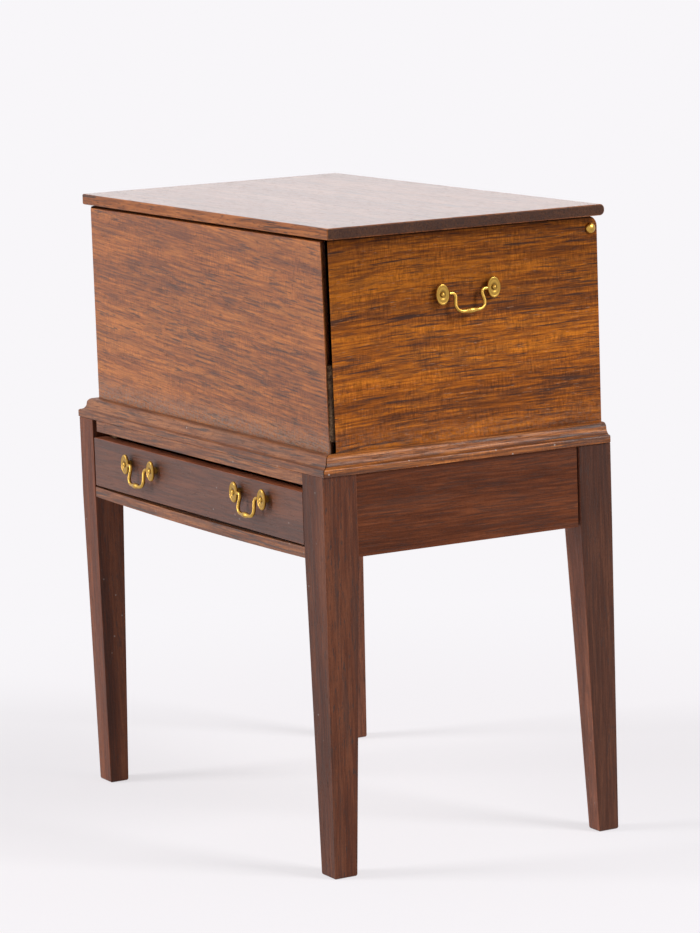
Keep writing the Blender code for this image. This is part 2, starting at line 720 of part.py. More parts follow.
def rosette_ring(inward, out):
    """An oval of the rosette, which grows rounder inwards from the rim to the pin's hole."""
    hole = PIN_RADIUS + PRESS_FIT
    share = 1 - inward / (ROSETTE_HALF_WIDTH - hole)
    half_width = hole + (ROSETTE_HALF_WIDTH - hole) * share
    half_height = hole + (ROSETTE_HALF_HEIGHT - hole) * share
    return oval(1, -out, half_width, half_height, ROSETTE_SIDES)


def rosette_mesh():
    """An oval ringed plate facing -Y on a short boss. The rim has a hole for a bail's end towards +X."""
    hole = PIN_RADIUS + PRESS_FIT
    rings = [
        oval(1, -GLUE, hole, hole, ROSETTE_SIDES),
        oval(1, -GLUE, ROSETTE_BOSS, ROSETTE_BOSS, ROSETTE_SIDES),
        oval(1, -ROSETTE_BACK, ROSETTE_BOSS, ROSETTE_BOSS, ROSETTE_SIDES),
        rosette_ring(ROSETTE_EDGE, ROSETTE_BACK),
        rosette_ring(0.0, ROSETTE_BACK + ROSETTE_EDGE),
        rosette_ring(ROSETTE_EDGE, ROSETTE_FRONT - ROSETTE_EDGE),
        rosette_ring(ROSETTE_RIM, ROSETTE_FRONT),
        rosette_ring(ROSETTE_GROOVE, ROSETTE_FRONT - ROSETTE_GROOVE_DEPTH),
        rosette_ring(ROSETTE_BEAD_OUTER, ROSETTE_FRONT),
        rosette_ring(ROSETTE_BEAD_INNER, ROSETTE_FRONT),
        rosette_ring(ROSETTE_DISH, PIN_SEAT),
        oval(1, -PIN_SEAT, hole, hole, ROSETTE_SIDES),
    ]
    shape = loft(rings, joined=True)
    body = bpy.data.objects.new("rosette_body", as_mesh("rosette", shape))
    bpy.context.scene.collection.objects.link(body)
    radius = BAIL_END_RADIUS + PIVOT_PLAY
    centre = (-BAIL_STAND_OFF, 0.0)
    bore = (PIVOT_END, ROSETTE_HALF_WIDTH + radius)
    cut(body, loft([oval(0, x, radius, radius, PIN_SIDES, centre) for x in bore]))
    bpy.context.view_layer.update()
    graph = bpy.context.evaluated_depsgraph_get()
    data = bpy.data.meshes.new_from_object(body.evaluated_get(graph))
    data.name = "rosette"
    bpy.data.objects.remove(bpy.data.objects["rosette_body_cutter"], do_unlink=True)
    bpy.data.objects.remove(body, do_unlink=True)
    return rounded(data)


def rounded(data):
    data.shade_smooth()
    data.set_sharp_from_angle(angle=math.radians(SMOOTH_UNDER))
    return data


def pin_mesh():
    shank = [oval(1, y, PIN_RADIUS, PIN_RADIUS, PIN_SIDES) for y in (PIN_DEPTH, -PIN_SEAT - GLUE)]
    head = dome(1, -PIN_SEAT - GLUE, -PIN_HEAD_HEIGHT, PIN_HEAD_RADIUS, PIN_SIDES)
    return rounded(as_mesh("pull_pin", loft(shank + head)))


def bail_path():
    """Half of the bail from its end in the rosette to the middle of its grip: reach, height and wire radius."""
    end = PULL_SPACING / 2 - BAIL_END_GAP
    throat_wide = BAIL_NECK - BAIL_THROAT
    neck = arc((BAIL_NECK, -BAIL_THROAT_DROP), throat_wide, BAIL_THROAT_DROP, 90, 180, BAIL_BEND_STEPS)
    swell = []
    for i in range(1, BAIL_BEND_STEPS):
        share = i / BAIL_BEND_STEPS
        x = BAIL_THROAT + (BAIL_BELLY - BAIL_THROAT) * (1 - math.cos(math.pi * share)) / 2
        swell.append((x, -BAIL_THROAT_DROP - (BAIL_BELLY_DROP - BAIL_THROAT_DROP) * share))
    belly_wide = BAIL_BELLY - BAIL_FOOT
    belly_high = BAIL_DROP - BAIL_BELLY_DROP
    belly = arc((BAIL_FOOT, -BAIL_BELLY_DROP), belly_wide, belly_high, 0, -90, BAIL_BEND_STEPS)
    arm = [(x, z, BAIL_ARM_RADIUS) for x, z in neck[1:] + swell + belly]
    grip = []
    for i in range(1, BAIL_BEND_STEPS + 1):
        share = i / BAIL_BEND_STEPS
        radius = BAIL_ARM_RADIUS + (BAIL_GRIP_RADIUS - BAIL_ARM_RADIUS) * math.sin(math.pi / 2 * share)
        grip.append((BAIL_FOOT * (1 - share), -BAIL_DROP, radius))
    stub = [(end, BAIL_END_RADIUS), (BAIL_SHOULDER + BAIL_SHOULDER_WIDTH, BAIL_END_RADIUS)]
    stub += [(BAIL_SHOULDER, BAIL_ARM_RADIUS), (BAIL_NECK, BAIL_ARM_RADIUS)]
    return [(x, 0.0, radius) for x, radius in stub] + arm + grip


def bail_mesh():
    half = bail_path()
    path = [(-x, z, r) for x, z, r in half] + [(x, z, r) for x, z, r in half[-2::-1]]
    rings = []
    for i, (x, z, radius) in enumerate(path):
        before = path[max(i - 1, 0)]
        after = path[min(i + 1, len(path) - 1)]
        along = Vector((after[0] - before[0], 0.0, after[1] - before[1])).normalized()
        across = Vector((-along.z, 0.0, along.x))
        ring = []
        for k in range(BAIL_SIDES):
            turn = 2 * math.pi * k / BAIL_SIDES
            offset = across * math.cos(turn) + Vector((0.0, 1.0, 0.0)) * math.sin(turn)
            ring.append(Vector((x, 0.0, z)) + offset * radius)
        rings.append(ring)
    return rounded(as_mesh("bail", loft(rings)))


def pull(name, middle, facing, wood, meshes, carrier=None, tilt=0.0, swing=0.0):
    """Two rosettes, their pins and a bail at a point on a wood face. Facing is the turn about +Z.

    In degrees, tilt turns the whole pull on its face and swing holds the bail out from it.
    """
    rosette, pin, bail = meshes
    upright = Matrix.Translation(Vector(middle) * MM) @ Matrix.Rotation(facing, 4, "Z")
    frame = upright @ Matrix.Rotation(math.radians(tilt), 4, "Y")
    for word, side in (("left", -1), ("right", 1)):
        foot = frame @ Matrix.Translation(Vector((side * PULL_SPACING / 2, 0.0, 0.0)) * MM)
        turned = Matrix.Rotation(math.pi if side > 0 else 0.0, 4, "Y")
        stand_alone(f"{name}_rosette_{word}", rosette, BRASS_PAINT, foot @ turned, carrier)
        stand_alone(f"{name}_pin_{word}", pin, BRASS_PAINT, foot, carrier)
        bore_pin_hole(wood, foot)
    pivot = frame @ Matrix.Translation(Vector((0.0, -BAIL_STAND_OFF, 0.0)) * MM)
    hung = pivot @ Matrix.Rotation(math.radians(-swing), 4, "X")
    stand_alone(f"{name}_bail", bail, BRASS_PAINT, hung, carrier)


def bore_pin_hole(wood, foot):
    radius = PIN_RADIUS + PRESS_FIT
    shape = loft([oval(1, y, radius, radius, PIN_SIDES) for y in (-PIN_DEPTH, PIN_DEPTH + TENON_FIT)])
    in_place = Matrix.Scale(1 / MM, 4) @ foot @ Matrix.Scale(MM, 4)
    bmesh.ops.transform(shape, matrix=in_place, verts=shape.verts)
    cut(wood, shape)


def pulls(side_left, side_right, drawer_front, drawer):
    meshes = (rosette_mesh(), pin_mesh(), bail_mesh())
    right_turn = math.pi / 2
    handle_y = (CASE_FRONT + CASE_BACK) / 2 + HANDLE_SHIFT
    handle_z = CASE_TOP - HANDLE_DROP
    pull("handle_left", (-HALF_CASE, handle_y, handle_z), -right_turn, side_left, meshes)
    loose = {"tilt": RIGHT_HANDLE_TILT, "swing": RIGHT_HANDLE_SWING}
    pull("handle_right", (HALF_CASE, handle_y, handle_z), right_turn, side_right, meshes, **loose)
    height = sum(DRAWER_FRONT_Z) / 2 + DRAWER_PULL_ABOVE_MIDDLE
    for word, side in (("left", -1), ("right", 1)):
        middle = (DRAWER_PULL_SHIFT + side * DRAWER_PULL_REACH, STAND_FACE, height + side * DRAWER_PULL_UNEVEN)
        pull("drawer_pull_" + word, middle, 0.0, drawer_front, meshes, drawer, swing=DRAWER_PULL_SWING)


def main():
    clear_scene()
    legs()
    aprons()
    top_rail()
    bottom_rail()
    drawer_strips()
    mouldings()
    side_left, side_right = case_walls()
    corner_filler()
    dividers()
    hinge = joint_empty("lid_hinge", 0.0, HINGE_Y, HINGE_Z)
    lid(hinge)
    hinge_rail(hinge)
    hinge_pins()
    drawer = joint_empty("drawer_slide", 0.0, STAND_FACE, DRAWER_FRONT_Z[0])
    drawer_front = drawer_box(drawer)
    pulls(side_left, side_right, drawer_front, drawer)


main()
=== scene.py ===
import json
import math

import bmesh
import bpy
from mathutils import Euler, Matrix, Vector, noise


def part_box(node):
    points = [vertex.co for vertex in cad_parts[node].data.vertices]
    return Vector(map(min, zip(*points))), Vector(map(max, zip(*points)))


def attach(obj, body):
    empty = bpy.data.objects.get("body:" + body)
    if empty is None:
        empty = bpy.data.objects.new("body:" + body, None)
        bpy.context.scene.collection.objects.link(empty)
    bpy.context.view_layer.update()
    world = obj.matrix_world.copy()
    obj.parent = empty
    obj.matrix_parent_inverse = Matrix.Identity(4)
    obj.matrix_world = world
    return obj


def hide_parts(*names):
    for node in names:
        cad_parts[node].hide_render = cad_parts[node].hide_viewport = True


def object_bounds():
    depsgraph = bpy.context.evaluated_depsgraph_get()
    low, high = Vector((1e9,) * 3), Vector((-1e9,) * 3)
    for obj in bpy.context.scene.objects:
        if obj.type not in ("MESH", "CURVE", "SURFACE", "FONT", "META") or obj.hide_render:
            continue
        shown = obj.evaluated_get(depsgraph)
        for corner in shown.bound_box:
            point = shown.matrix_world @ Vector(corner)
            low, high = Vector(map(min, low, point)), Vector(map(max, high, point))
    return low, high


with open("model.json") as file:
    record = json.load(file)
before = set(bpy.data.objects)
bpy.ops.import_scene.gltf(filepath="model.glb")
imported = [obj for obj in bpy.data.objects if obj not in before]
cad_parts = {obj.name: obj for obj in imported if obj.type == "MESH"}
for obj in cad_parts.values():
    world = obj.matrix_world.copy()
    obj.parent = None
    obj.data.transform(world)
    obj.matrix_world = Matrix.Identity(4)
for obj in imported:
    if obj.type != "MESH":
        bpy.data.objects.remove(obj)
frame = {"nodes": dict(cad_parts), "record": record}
CAD_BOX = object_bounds()

MM = 0.001

# Camera, found by fitting the solids' corners to the photograph
CAMERA_AZIMUTH = math.radians(60.62)
CAMERA_ELEVATION = math.radians(9.21)
CAMERA_ROLL = math.radians(-1.98)
CAMERA_EYE = Vector((450.03, -250.79, 129.60)) * MM
CAMERA_LENS = 150.62
CAMERA_NEAR = 0.01
SENSOR_WIDTH = 36.0

# Light and floor
AIR_COLOUR = (0.939, 0.922, 0.947)
AIR_FILL = 0.33
FLOOR_COLOUR = (0.95, 0.93, 0.955)
FLOOR_GLOW_COLOUR = (0.95, 0.925, 0.95)
FLOOR_GLOW = 0.66
FLOOR_REACH = 14.0
FLOOR_FADE = (0.05, 0.14)
LAMP_DISTANCE = 0.8
LAMP_WIDTH = 0.26
LAMP_HEIGHT = 0.32
# Azimuth, elevation and level of each lamp
LAMPS = {
    "side_lamp": (math.radians(121.0), math.radians(33.0), 0.63),
    "front_lamp": (math.radians(-26.0), math.radians(33.0), 0.47),
    "low_lamp": (math.radians(-26.0), math.radians(8.0), 0.24),
}

# Taking the edges off the wood
MERGE_UNDER = 0.002 * MM
FLAT_UNDER = math.radians(0.1)
SHARP_OVER = math.radians(35.0)
CREASE_OVER = math.radians(50.0)
UNDER_BRASS = 0.06 * MM
ARRIS = 0.11 * MM
ARRIS_STEPS = 2


class Wire:
    """A number in a finish. Sums, products and so on add their Math nodes."""

    def __init__(self, board, socket):
        self.board = board
        self.socket = socket

    def maths(self, operation, first, second):
        return self.board.node("ShaderNodeMath", {"operation": operation}, {0: first, 1: second})

    def __add__(self, other):
        return self.maths("ADD", self, other)

    def __radd__(self, other):
        return self.maths("ADD", other, self)

    def __sub__(self, other):
        return self.maths("SUBTRACT", self, other)

    def __rsub__(self, other):
        return self.maths("SUBTRACT", other, self)

    def __mul__(self, other):
        return self.maths("MULTIPLY", self, other)

    def __rmul__(self, other):
        return self.maths("MULTIPLY", other, self)

    def __or__(self, other):
        return self.maths("MAXIMUM", self, other)

    def __abs__(self):
        return self.maths("ABSOLUTE", self, 0.0)


class Board:
    """The nodes of one finish, or of the air round the object."""

    def __init__(self, owner):
        owner.use_nodes = True
        self.tree = owner.node_tree
        self.tree.nodes.clear()

    def node(self, kind, settings=None, sockets=None, output=0):
        made = self.tree.nodes.new(kind)
        for setting, value in (settings or {}).items():
            if setting == "stops":
                self.set_stops(made.color_ramp, value)
            else:
                setattr(made, setting, value)
        for socket, value in (sockets or {}).items():
            target = made.inputs[socket]
            if isinstance(value, Wire):
                self.tree.links.new(value.socket, target)
            elif hasattr(target.default_value, "__len__") and len(target.default_value) > len(value):
                target.default_value = (*value, 1.0)
            else:
                target.default_value = value
        return Wire(self, made.outputs[output] if len(made.outputs) else None)

    def set_stops(self, ramp, stops):
        while len(ramp.elements) < len(stops):
            ramp.elements.new(1.0)
        for element, (at, colour) in zip(ramp.elements, stops):
            element.position = at
            element.color = (*colour, 1.0)

    def between(self, value, low, high):
        """0 below low, 1 above high, eased; low may be the larger one."""
        ends = {0: value, 1: low, 2: high, 3: 0.0, 4: 1.0}
        return self.node("ShaderNodeMapRange", {"interpolation_type": "SMOOTHSTEP"}, ends)

    def mixed(self, share, first, second):
        sockets = {0: share, 6: first, 7: second}
        return self.node("ShaderNodeMix", {"data_type": "RGBA"}, sockets, 2)

    def towards(self, facing, way):
        """1 where the surface faces that way, 0 at its side and -1 behind it."""
        sockets = {0: facing, 1: way}
        return self.node("ShaderNodeVectorMath", {"operation": "DOT_PRODUCT"}, sockets, "Value")

    def scaled(self, colour, by):
        return self.node("ShaderNodeVectorMath", {"operation": "SCALE"}, {0: colour, "Scale": by})

    def stretched(self, place, turn, size, shift=(0.0, 0.0, 0.0)):
        """Places turned to the grain and measured in a figure's own length, width and depth in mm."""
        sockets = {
            "Vector": place,
            "Location": [mm * MM for mm in shift],
            "Rotation": turn,
            "Scale": [mm * MM for mm in size],
        }
        return self.node("ShaderNodeMapping", {"vector_type": "TEXTURE"}, sockets)

    def cloud(self, place, detail, rough, output=0):
        sockets = {"Vector": place, "Scale": 1.0, "Detail": detail, "Roughness": rough}
        return self.node("ShaderNodeTexNoise", None, sockets, output)

    def seen(self):
        """1 for what the camera sees, itself or in a shine or glass, and 0 for light on its way."""
        path = "ShaderNodeLightPath"
        straight = self.node(path, output="Is Camera Ray")
        mirrored = self.node(path, output="Is Glossy Ray")
        through = self.node(path, output="Is Transmission Ray")
        return straight | mirrored | through


def outward(azimuth, elevation):
    """The way from the object to a place round it; azimuth 0 is straight in front."""
    flat = math.cos(elevation)
    return Vector((math.sin(azimuth) * flat, -math.cos(azimuth) * flat, math.sin(elevation)))


def air():
    world = bpy.data.worlds.new("studio_air")
    bpy.context.scene.world = world
    board = Board(world)
    strength = AIR_FILL + (1.0 - AIR_FILL) * board.seen()
    back = board.node("ShaderNodeBackground", None, {"Color": AIR_COLOUR, "Strength": strength})
    board.node("ShaderNodeOutputWorld", None, {"Surface": back})


def floor():
    material = bpy.data.materials.new("floor_paper")
    board = Board(material)
    place = board.node("ShaderNodeTexCoord", output="Object")
    away = board.node("ShaderNodeVectorMath", {"operation": "LENGTH"}, {0: place}, "Value")
    far = board.between(away, *FLOOR_FADE)
    paper = board.node("ShaderNodeBsdfDiffuse", None, {"Color": FLOOR_COLOUR})
    colour = board.mixed(far, FLOOR_GLOW_COLOUR, AIR_COLOUR)
    glow = board.node("ShaderNodeEmission", None, {"Color": colour, "Strength": 1.0})
    share = (FLOOR_GLOW + (1.0 - FLOOR_GLOW) * far) * board.seen()
    shown = board.node("ShaderNodeMixShader", None, {0: share, 1: paper, 2: glow})
    board.node("ShaderNodeOutputMaterial", None, {"Surface": shown})
    form = bmesh.new()
    bmesh.ops.create_grid(form, x_segments=2, y_segments=2, size=FLOOR_REACH / 2)
    made = as_object("floor", form, material)


def lamp(name, azimuth, elevation, level):
    """A soft box that looks at the object; level is the light it adds on a face square to it."""
    data = bpy.data.lights.new(name, "AREA")
    data.shape = "RECTANGLE"
    data.size = LAMP_WIDTH
    data.size_y = LAMP_HEIGHT
    data.energy = math.pi ** 2 * LAMP_DISTANCE ** 2 * level
    made = bpy.data.objects.new(name, data)
    bpy.context.scene.collection.objects.link(made)
    towards = outward(azimuth, elevation)
    middle = (CAD_BOX[0] + CAD_BOX[1]) / 2
    made.location = middle + towards * LAMP_DISTANCE
    made.rotation_euler = (-towards).to_track_quat("-Z", "Y").to_euler()


def camera():
    back = outward(CAMERA_AZIMUTH, CAMERA_ELEVATION)
    level = Vector((math.cos(CAMERA_AZIMUTH), math.sin(CAMERA_AZIMUTH), 0.0))
    plumb = back.cross(level)
    right = level * math.cos(CAMERA_ROLL) + plumb * math.sin(CAMERA_ROLL)
    up = back.cross(right)
    data = bpy.data.cameras.new("camera")
    data.sensor_fit = "AUTO"
    data.sensor_width = SENSOR_WIDTH
    data.lens = CAMERA_LENS
    data.clip_start = CAMERA_NEAR
    made = bpy.data.objects.new("camera", data)
    made.matrix_world = Matrix.Translation(CAMERA_EYE) @ Matrix((right, up, back)).transposed().to_4x4()
    bpy.context.scene.collection.objects.link(made)
    bpy.context.scene.camera = made


def as_object(name, form, material):
    data = bpy.data.meshes.new(name)
    form.to_mesh(data)
    form.free()
    data.materials.append(material)
    made = bpy.data.objects.new(name, data)
    bpy.context.scene.collection.objects.link(made)
    return made


BODY_OF = {}
for body, nodes in frame["record"]["behaviour"]["bodies"].items():
    for node in nodes:
        BODY_OF[node] = body
SLOT_OF = {row["node"]: row["material_slot"] for row in frame["record"]["subparts"]}


def stand_in(node, form, material):
    """A finished piece that takes the place of one CAD node."""
    made = as_object(node + "_finished", form, material)
    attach(made, BODY_OF[node])
    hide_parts(node)
    return made


# Directions of the grain
GRAINS = {
    "across": (0.0, 0.0, 0.0),
    "tilted": (0.0, math.radians(3.5), 0.0),
    "deep": (0.0, 0.0, math.radians(90.0)),
    "upright": (0.0, math.radians(-90.0), 0.0),
}
DEEP_GRAIN = ("case_side", "apron_left", "apron_right", "moulding_left", "moulding_right")
DEEP_GRAIN += ("drawer_side", "runner", "kicker", "divider_cross")

# Dark, middle and light tone of each wood
CASE_TONES = ((0.12, 0.036, 0.011), (0.31, 0.086, 0.012), (0.54, 0.165, 0.016))
FRONT_TONES = ((0.155, 0.048, 0.02), (0.315, 0.095, 0.024), (0.48, 0.16, 0.035))
STAND_TONES = ((0.045, 0.014, 0.008), (0.098, 0.028, 0.012), (0.175, 0.057, 0.025))
APRON_TONES = ((0.054, 0.016, 0.008), (0.112, 0.031, 0.012), (0.2, 0.06, 0.023))
LIGHT_LEG_TONES = ((0.1, 0.034, 0.019), (0.215, 0.075, 0.038), (0.36, 0.14, 0.072))
DARK_LEG_TONES = ((0.036, 0.013, 0.008), (0.076, 0.026, 0.014), (0.135, 0.05, 0.026))
DRAWER_TONES = ((0.066, 0.02, 0.01), (0.102, 0.029, 0.012), (0.145, 0.045, 0.019))
MOULDING_TONES = ((0.10, 0.032, 0.014), (0.2, 0.062, 0.018), (0.34, 0.125, 0.042))
MOULDING_SIDE_TONES = ((0.085, 0.025, 0.008), (0.29, 0.086, 0.015), (0.58, 0.21, 0.05))
LID_TONES = ((0.17, 0.054, 0.019), (0.28, 0.087, 0.024), (0.4, 0.138, 0.04))
INSIDE_TONES = ((0.2, 0.09, 0.04), (0.31, 0.16, 0.075), (0.42, 0.24, 0.12))
FILLER_TONES = ((0.1, 0.058, 0.03), (0.2, 0.118, 0.06), (0.3, 0.185, 0.1))

FRONT_FACE = (0.0, -1.0, 0.0)
TOP_FACE = (0.0, 0.0, 1.0)

# Strength of each part of the figure and finish, and what single woods have instead
PLAIN = {
    "tones": CASE_TONES,
    "band": 0.4,
    "line": 0.6,
    "streak": 0.85,
    "streak_size": (9.0, 0.34, 0.34),
    "streak_fade": (0.55, 0.67),
    "broad_streak": 0.55,
    "veil": 0.0,
    "pore": 0.5,
    "painted_glint": 0.0,
    "ripple": 1.0,
    "drift": 1.5 * MM,
    "bow": 0.0,
    "dust": 0.0,
    "foot_dust": 0.0,
    "top_shade_and_dark_wood": 0.0,
    "painted_seam_shadow": 0.0,
    # Painted light: faces turned one way are painted paler; none by default
    "painted_light": 0.0,
    "painted_light_face": FRONT_FACE,
    "rough": 0.42,
    "gloss": 0.25,
    "polish": 0.0,
    "sheen": 0.0,
    "end_dark": 0.42,
}
LEG = {
    "band": 0.35,
    "line": 0.3,
    "streak": 0.6,
    "streak_size": (1.7, 0.28, 0.28),
    "streak_fade": (0.6, 0.68),
    "ripple": 0.3,
    "gloss": 0.18,
}
LOOKS = {
    "walnut_case_front": {
        "tones": FRONT_TONES,
        "band": 0.3,
        "line": 0.58,
        "streak": 0.75,
        "streak_size": (4.5, 0.3, 0.3),
        "streak_fade": (0.59, 0.67),
        "broad_streak": 0.35,
        "veil": 0.38,
        "ripple": 1.5,
        "drift": 0.6 * MM,
        "foot_dust": 0.8,
        "rough": 0.4,
        "gloss": 0.32,
    },
    "walnut_case_side": {
        "band": 0.35,
        "line": 0.52,
        "streak_size": (6.5, 0.3, 0.3),
        "streak_fade": (0.58, 0.67),
        "broad_streak": 0.4,
        "veil": 0.5,
        # Painted glints: pale dashes along the grain where raised grain catches the light
        "painted_glint": 0.3,
        "ripple": 1.7,
        "drift": 0.6 * MM,
        "bow": 1.3,
        "foot_dust": 0.25,
        # Painted shade from the lid's overhang, together with darker wood, towards the top of the side
        "top_shade_and_dark_wood": 0.4,
        # Painted shadow of the gap under the lid, along the top edge of the side
        "painted_seam_shadow": 0.75,
        "gloss": 0.05,
    },
    "walnut_lid": {
        "tones": LID_TONES,
        "pore": 0.8,
        "ripple": 0.2,
        "rough": 0.35,
        "gloss": 0.15,
        "polish": 1.0,
        "sheen": 0.47,
        "end_dark": 0.85,
    },
    "walnut_moulding": {"tones": MOULDING_TONES, "dust": 0.6, "gloss": 0.4},
    "moulding_side": {"tones": MOULDING_SIDE_TONES, "streak": 0.7, "dust": 0.6, "gloss": 0.3},
    "walnut_stand": {**LEG, "tones": STAND_TONES, "streak": 0.85, "dust": 0.35},
    # Painted light: the front face of the front left leg is painted paler
    "faded_leg": {**LEG, "tones": STAND_TONES, "dust": 0.35, "painted_light": 0.65},
    "light_leg": {**LEG, "tones": LIGHT_LEG_TONES},
    # Darker wood, with painted light making its front face paler
    "dark_leg": {**LEG, "tones": DARK_LEG_TONES, "dust": 0.35, "painted_light": 1.7},
    "apron": {
        "tones": APRON_TONES,
        "band": 0.22,
        "line": 0.32,
        "streak": 0.5,
        "streak_size": (6.0, 0.2, 0.2),
        "streak_fade": (0.56, 0.64),
        "broad_streak": 0.35,
        "ripple": 0.3,
        "dust": 0.2,
        "gloss": 0.08,
    },
    "walnut_drawer_front": {
        "tones": DRAWER_TONES,
        "streak": 0.25,
        "ripple": 0.1,
        "dust": 0.35,
        # Painted light: the top edge of the drawer front is painted paler, as if lit from the front
        "painted_light": 2.6,
        "painted_light_face": TOP_FACE,
        "gloss": 0.44,
    },
    "plain_inside_wood": {"tones": INSIDE_TONES, "streak": 0.25, "ripple": 0.1, "rough": 0.7},
    "filler": {
        "tones": FILLER_TONES,
        "streak": 0.8,
        "streak_size": (0.7, 0.4, 0.5),
        "streak_fade": (0.56, 0.62),
        "ripple": 0.0,
        "rough": 0.85,
        "gloss": 0.1,
    },
}

# Woods that differ from their material slot's, by the start of the piece's name
OTHER_LOOKS = {
    "rail": "walnut_moulding",
    "moulding_left": "moulding_side",
    "moulding_right": "moulding_side",
    "apron": "apron",
    "leg_front_left": "faded_leg",
    "leg_rear_left": "light_leg",
    "leg_rear_right": "dark_leg",
}

# Clouds: how many finer layers they have, and how strong each is
SMOOTH = (1.0, 0.5)
EVEN = (2.0, 0.5)
STREAKY = (2.0, 0.55)
GRAINY = (2.0, 0.6)
RAGGED = (3.0, 0.6)
WISPY = (3.0, 0.65)
DUSTY = (3.0, 0.7)
CLOUD_MIDDLE = 0.5

# Figure of the wood: length along the grain, width and depth in mm, and where a figure's edges fade
DRIFT_SIZE = (34.0, 12.0, 12.0)
BAND_SIZE = (60.0, 3.4, 3.4)
LINE_SIZE = (7.0, 0.29, 0.29)
TONE_FADE = (0.34, 0.66)
TONE_STOPS = (0.05, 0.5, 0.95)
PATCH_SIZE = (6.0, 2.2, 2.2)
PATCH_FADE = (0.32, 0.6)
RIPPLE_SIZE = (0.2, 1.1, 1.1)
SPECKLE_SIZE = (0.34, 0.13, 0.13)
SPECKLE_SHARE = 0.55
BROAD_STREAK_SIZE = (19.0, 0.85, 0.85)
BROAD_STREAK_FADE = (0.5, 0.72)
VEIL_SIZE = (3.0, 0.7, 0.7)
VEIL_SHIFT = (2.0, 6.0, 8.0)
VEIL_FADE = (0.44, 0.64)
CLUSTER_SIZE = (22.0, 3.6, 3.6)
CLUSTER_SHIFT = (5.0, 9.0, 3.0)
CLUSTER_PULL = 0.28
PORE_SIZE = (1.7, 0.12, 0.12)
PORE_FADE = (0.6, 0.7)
# Painted glints: size, shift and fade of the pale dashes along the grain
GLINT_SIZE = (1.3, 0.13, 0.13)
GLINT_SHIFT = (3.0, 4.0, 7.0)
GLINT_FADE = (0.69, 0.77)
STREAK_COLOUR = (0.054, 0.028, 0.022)
PORE_COLOUR = (0.06, 0.027, 0.018)
# Colour of the painted glints
GLINT_COLOUR = (0.5, 0.33, 0.22)
BOW_FROM = 6.0 * MM
END_COLOUR = (0.034, 0.019, 0.015)
END_SPECKLE = 4.0
END_FADE = (0.55, 0.9)
# How far a face must turn the painted-light way before it is painted paler
PAINTED_LIGHT_FADE = (0.6, 0.95)
# Heights over which the painted shade under the lid and the darker wood come in
TOP_SHADE_AND_DARK_WOOD_FADE = (63.0 * MM, 80.0 * MM)
CASE_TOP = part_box("case_side_right")[1].z
# Painted shadow of the gap under the lid: a band on the top edge of the side, just below the case top
SEAM_SHADOW_FADE = (CASE_TOP - 0.34 * MM, CASE_TOP - 0.16 * MM)
ARRIS_LIGHT = 0.25
BUMP_DEPTH = 0.08 * MM
BUMP_STRENGTH = 0.5
STREAK_HOLLOW = 0.4
PORE_HOLLOW = 0.8
SPECKLE_RISE = 0.3
SPECKLE_ROUGH = 0.25
PORE_ROUGH = 0.15

# Wax on the broad top of the lid
TOP_FADE = (0.8, 0.97)
WAX_ROUGH = 0.2
WAX_WORN = 0.7
WAX_PORES = 0.3
WAX_GRAIN = 0.12
SHEEN_TINT = (1.0, 0.9, 0.88)

# Dust on the wood and in the corner above the moulding
DUST_COLOUR = (0.52, 0.46, 0.42)
DUST_CELL = (1.2, 1.2, 1.2)
DUST_SPOT = (0.13, 0.06)
DUST_FEW = (0.8, 0.95)
FOOT_DUST_COLOUR = (0.225, 0.155, 0.12)
FOOT_DUST_FADE = (57.8 * MM, 53.9 * MM)
FOOT_DUST_SIZE = (0.5, 0.3, 0.3)
FOOT_DUST_GRAINS = (0.35, 0.65)


def wandering(board, still, turn, look):
    """Places pushed a little to and fro, so that no line of the grain is straight."""
    place = still
    if look["bow"]:
        lean = (BOW_FROM - board.node("ShaderNodeSeparateXYZ", None, {0: still}, "Y")) | 0.0
        rise = board.node("ShaderNodeCombineXYZ", None, {"Z": lean * lean * look["bow"]})
        place = board.node("ShaderNodeVectorMath", {"operation": "ADD"}, {0: still, 1: rise})
    drift = board.cloud(board.stretched(still, turn, DRIFT_SIZE), *SMOOTH, output="Color")
    push = {0: drift, 1: [look["drift"]] * 3, 2: place}
    return board.node("ShaderNodeVectorMath", {"operation": "MULTIPLY_ADD"}, push)


def grain_tone(board, still, place, turn, look):
    """Bands and lines along the grain, with a fine ripple across them in patches."""
    band = board.cloud(board.stretched(place, turn, BAND_SIZE), *EVEN)
    line = board.cloud(board.stretched(place, turn, LINE_SIZE), *RAGGED)
    lively = (band - CLOUD_MIDDLE) * look["band"] + (line - CLOUD_MIDDLE) * look["line"]
    tone = board.between(CLOUD_MIDDLE + lively, *TONE_FADE)
    stops = tuple(zip(TONE_STOPS, look["tones"]))
    colour = board.node("ShaderNodeValToRGB", {"stops": stops}, {0: tone})
    ripple = board.cloud(board.stretched(still, turn, RIPPLE_SIZE), *GRAINY)
    patch = board.cloud(board.stretched(place, turn, PATCH_SIZE), *EVEN)
    shade = 1.0 + (ripple - CLOUD_MIDDLE) * board.between(patch, *PATCH_FADE) * look["ripple"]
    speckle = board.cloud(board.stretched(still, turn, SPECKLE_SIZE), *GRAINY)
    return board.scaled(colour, shade + (speckle - CLOUD_MIDDLE) * SPECKLE_SHARE), speckle, tone


